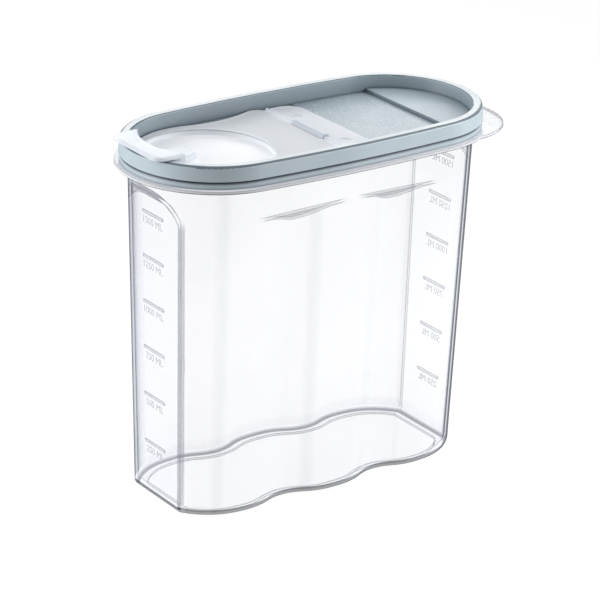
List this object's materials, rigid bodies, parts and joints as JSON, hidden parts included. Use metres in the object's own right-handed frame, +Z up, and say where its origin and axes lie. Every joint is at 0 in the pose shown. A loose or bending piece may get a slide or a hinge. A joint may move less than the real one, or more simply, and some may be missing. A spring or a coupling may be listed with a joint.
{
  "type": "cereal dispenser",
  "caption": "Tall narrow clear storage container with a push-on lid, a hinged pour flap and fill marks.",
  "frame": {"origin": "middle of the container's base, on the plane that it stands on", "axes": "+Z up, +X away from the pouring end and towards the thumb ear, +Y towards the back of the pictured view"},
  "size_m": [0.2023, 0.0942, 0.1811],
  "materials": {
    "clear_plastic": "clear moulded plastic, smooth",
    "lid_plastic": "satin blue-grey moulded plastic",
    "flap_plastic": "milky translucent moulded plastic"
  },
  "bodies": {
    "container": {"container": "clear_plastic"},
    "lid": {"lid": "lid_plastic", "hinge_plate": "flap_plastic"},
    "flap": {"pour_flap": "flap_plastic"}
  },
  "joints": [
    {"name": "lid_lift_off", "type": "slide", "parent": "container", "child": "lid", "axis": [0, 0, 1], "range_m": [0, 0.03]},
    {"name": "flap_hinge", "type": "hinge", "parent": "lid", "child": "flap", "pos_m": [0.0032, 0, 0.1712], "axis": [0, 1, 0], "range_deg": [0, 165]}
  ]
}
